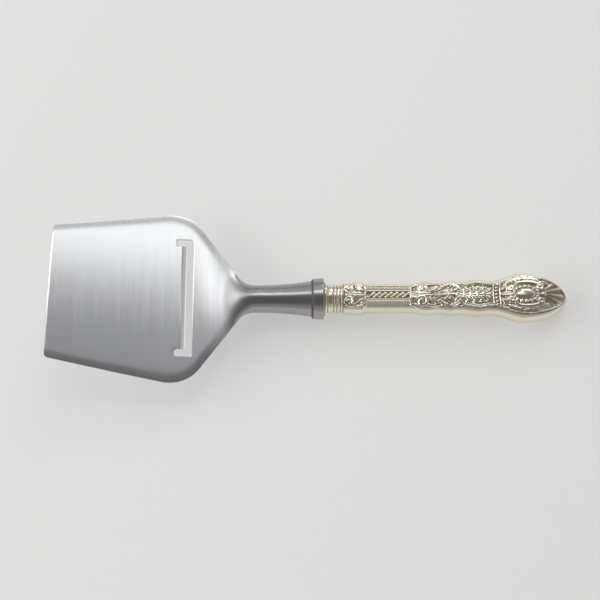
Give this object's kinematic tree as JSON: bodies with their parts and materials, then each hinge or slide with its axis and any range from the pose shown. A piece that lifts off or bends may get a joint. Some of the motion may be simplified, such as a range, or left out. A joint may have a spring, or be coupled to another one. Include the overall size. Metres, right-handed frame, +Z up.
{
  "type": "cheese plane",
  "caption": "Cheese plane: wide slotted steel blade on a round tapered neck, with a collar and an ornamented hollow silver handle. Drawn over cheese, the slot lifts off a thin slice.",
  "frame": {"origin": "middle of the box around the plane as it lies on a table, at the table's surface", "axes": "+X along the handle, from the blade towards the handle's end; +Y across the blade; +Z up, away from the table"},
  "size_m": [0.2162, 0.0746, 0.0251],
  "materials": {
    "blade_steel": "satin",
    "bolster_steel": "polished",
    "tang_steel": "satin",
    "silver": "polished",
    "solder": "satin",
    "cement": "matte"
  },
  "bodies": {
    "root": {"blade": "blade_steel", "neck": "bolster_steel", "collar": "bolster_steel", "tang": "tang_steel", "ferrule": "silver", "handle_front_half": "silver", "handle_back_half": "silver", "solder_seam": "solder", "cement_core": "cement"}
  },
  "joints": []
}
